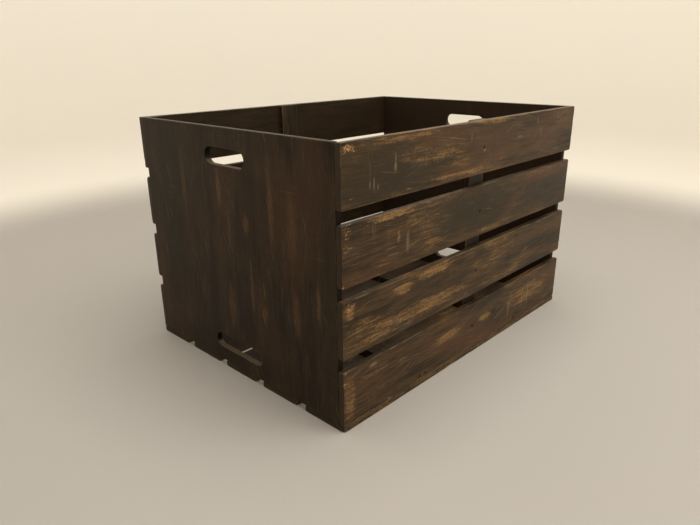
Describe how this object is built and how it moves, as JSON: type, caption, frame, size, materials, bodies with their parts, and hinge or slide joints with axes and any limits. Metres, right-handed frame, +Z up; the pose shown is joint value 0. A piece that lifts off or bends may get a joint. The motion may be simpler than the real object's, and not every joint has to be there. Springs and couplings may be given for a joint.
{
  "type": "wooden crate",
  "caption": "Open-topped slatted wooden crate in dark walnut stain, with solid ends that have hand slots, nailed floor boards and inner battens.",
  "frame": {"origin": "under the middle of the crate, on the surface that it stands on", "axes": "+X along the crate's length towards the right end panel, +Y across it from the front slats to the back slats, +Z up"},
  "size_m": [0.8128, 0.6096, 0.51],
  "materials": {
    "panel_stain": "dark walnut stain, satin, vertical grain",
    "slat_stain": "dark walnut stain, satin, rubbed through to bare wood along edges",
    "batten_stain": "dark walnut stain, satin",
    "floor_stain": "dark walnut stain, scuffed",
    "nail_steel": "steel darkened by stain"
  },
  "bodies": {
    "root": {"back_slat_1": "slat_stain", "back_slat_2": "slat_stain", "back_slat_3": "slat_stain", "back_slat_4": "slat_stain", "back_upright_batten": "batten_stain", "floor_board_1": "floor_stain", "floor_board_2": "floor_stain", "floor_board_3": "floor_stain", "floor_board_4": "floor_stain", "floor_board_5": "floor_stain", "front_slat_1": "slat_stain", "front_slat_2": "slat_stain", "front_slat_3": "slat_stain", "front_slat_4": "slat_stain", "front_upright_batten": "batten_stain", "left_cross_batten": "batten_stain", "left_end_panel": "panel_stain", "nail_back_left_batten_1": "nail_steel", "nail_back_left_batten_2": "nail_steel", "nail_back_right_batten_1": "nail_steel", "nail_back_slat_1_left": "nail_steel", "nail_back_slat_1_middle": "nail_steel", "nail_back_slat_1_right": "nail_steel", "nail_back_slat_2_left": "nail_steel", "nail_back_slat_2_middle": "nail_steel", "nail_back_slat_2_right": "nail_steel", "nail_back_slat_3_left": "nail_steel", "nail_back_slat_3_middle": "nail_steel", "nail_back_slat_3_right": "nail_steel", "nail_back_slat_4_left": "nail_steel", "nail_back_slat_4_middle": "nail_steel", "nail_back_slat_4_right": "nail_steel", "nail_floor_board_1_left": "nail_steel", "nail_floor_board_1_right": "nail_steel", "nail_floor_board_2_left": "nail_steel", "nail_floor_board_2_right": "nail_steel", "nail_floor_board_3_left": "nail_steel", "nail_floor_board_3_right": "nail_steel", "nail_floor_board_4_left": "nail_steel", "nail_floor_board_4_right": "nail_steel", "nail_floor_board_5_left": "nail_steel", "nail_floor_board_5_right": "nail_steel", "nail_front_left_batten_1": "nail_steel", "nail_front_left_batten_2": "nail_steel", "nail_front_right_batten_1": "nail_steel", "nail_front_slat_1_left": "nail_steel", "nail_front_slat_1_middle": "nail_steel", "nail_front_slat_1_right": "nail_steel", "nail_front_slat_2_left": "nail_steel", "nail_front_slat_2_middle": "nail_steel", "nail_front_slat_2_right": "nail_steel", "nail_front_slat_3_left": "nail_steel", "nail_front_slat_3_middle": "nail_steel", "nail_front_slat_3_right": "nail_steel", "nail_front_slat_4_left": "nail_steel", "nail_front_slat_4_middle": "nail_steel", "nail_front_slat_4_right": "nail_steel", "right_cross_batten": "batten_stain", "right_end_panel": "panel_stain"}
  },
  "joints": []
}
